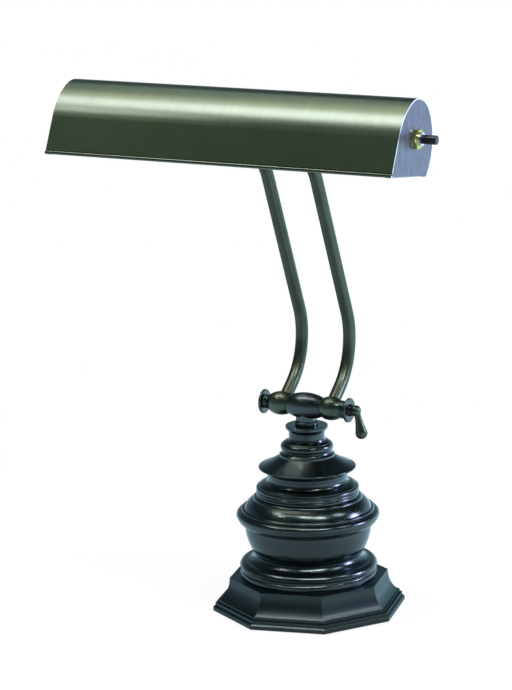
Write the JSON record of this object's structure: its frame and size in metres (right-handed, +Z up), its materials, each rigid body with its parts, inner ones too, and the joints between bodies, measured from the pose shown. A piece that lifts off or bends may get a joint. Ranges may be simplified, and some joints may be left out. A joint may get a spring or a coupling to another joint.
{
  "type": "piano lamp",
  "caption": "Desk or piano lamp: weighted eight-sided base with a turned stack, bent twin arms on a clamped knuckle and a tilting trough reflector with a push switch.",
  "frame": {"origin": "centre of the base, on the surface that it rests on", "axes": "+Z up, X along the reflector with the switch at +X, -Y is the front, towards which the reflector leans"},
  "size_m": [0.3768, 0.2729, 0.5302],
  "materials": {
    "felt": "green-black felt",
    "plain_steel": "zinc-plated steel",
    "ballast_iron": "raw grey iron",
    "base_bronze": "near-black antique bronze, lacquered, satin gloss",
    "black_rubber": "matt",
    "knuckle_bronze": "dark antique bronze, satin",
    "washer_fibre": "vulcanised fibre",
    "arm_bronze": "brushed antique bronze",
    "shade_bronze": "brushed antique bronze, fine streaks round the section",
    "end_plate_bronze": "brushed, paler where it mirrors the sky",
    "phenolic": "black moulded phenolic",
    "bulb_cap": "rolled thread cap",
    "bulb_glass": "clear",
    "black_plastic": "satin",
    "nickel": "nickel plated",
    "nut_brass": "bright brass"
  },
  "bodies": {
    "base": {"felt_pad": "felt", "bottom_plate": "plain_steel", "bottom_screws": "plain_steel", "ballast_weight": "ballast_iron", "plinth": "base_bronze", "pedestal": "base_bronze", "bowl": "base_bronze", "bowl_cover": "base_bronze", "shoulder_ring": "base_bronze", "flange_dish": "base_bronze", "neck_spool": "base_bronze", "neck_collar": "base_bronze", "tie_rod": "plain_steel", "tie_nut": "plain_steel", "tie_washer": "plain_steel", "cord_bushing": "black_rubber", "knuckle_hub": "knuckle_bronze"},
    "arms": {"friction_washers": "washer_fibre", "left_barrel": "arm_bronze", "right_barrel": "arm_bronze", "left_arm": "arm_bronze", "right_arm": "arm_bronze", "left_top_barrel": "arm_bronze", "right_top_barrel": "arm_bronze", "left_cap": "arm_bronze", "right_cap": "arm_bronze", "knuckle_bolt": "plain_steel", "top_bolt": "plain_steel", "cap_nuts": "arm_bronze"},
    "lever": {"cone_washer": "knuckle_bronze", "clamp_lever": "arm_bronze"},
    "shade": {"reflector": "shade_bronze", "left_end_plate": "end_plate_bronze", "right_end_plate": "end_plate_bronze", "top_hub": "knuckle_bronze", "stub_nut": "plain_steel", "socket_bracket": "plain_steel", "socket_screws": "plain_steel", "left_socket": "phenolic", "right_socket": "phenolic", "bulb_caps": "bulb_cap", "left_bulb": "bulb_glass", "right_bulb": "bulb_glass", "switch_body": "black_plastic", "switch_bushing": "nickel", "switch_nut": "nut_brass", "lock_washer": "nickel"},
    "button": {"switch_button": "black_plastic"}
  },
  "joints": [
    {"name": "arm_pivot", "type": "hinge", "parent": "base", "child": "arms", "pos_m": [0, 0, 0.2031], "axis": [1, 0, 0], "range_deg": [-30, 45]},
    {"name": "shade_pivot", "type": "hinge", "parent": "arms", "child": "shade", "pos_m": [0, -0.07642, 0.46395], "axis": [1, 0, 0], "range_deg": [-45, 45]},
    {"name": "lever_turn", "type": "hinge", "parent": "arms", "child": "lever", "pos_m": [0.05, 0, 0.2031], "axis": [1, 0, 0], "range_deg": [-30, 120]},
    {"name": "button_press", "type": "slide", "parent": "shade", "child": "button", "axis": [-1, 0, 0], "range_m": [0, 0.0025], "stiffness_N_per_m": 600, "springref_m": -0.0005}
  ]
}
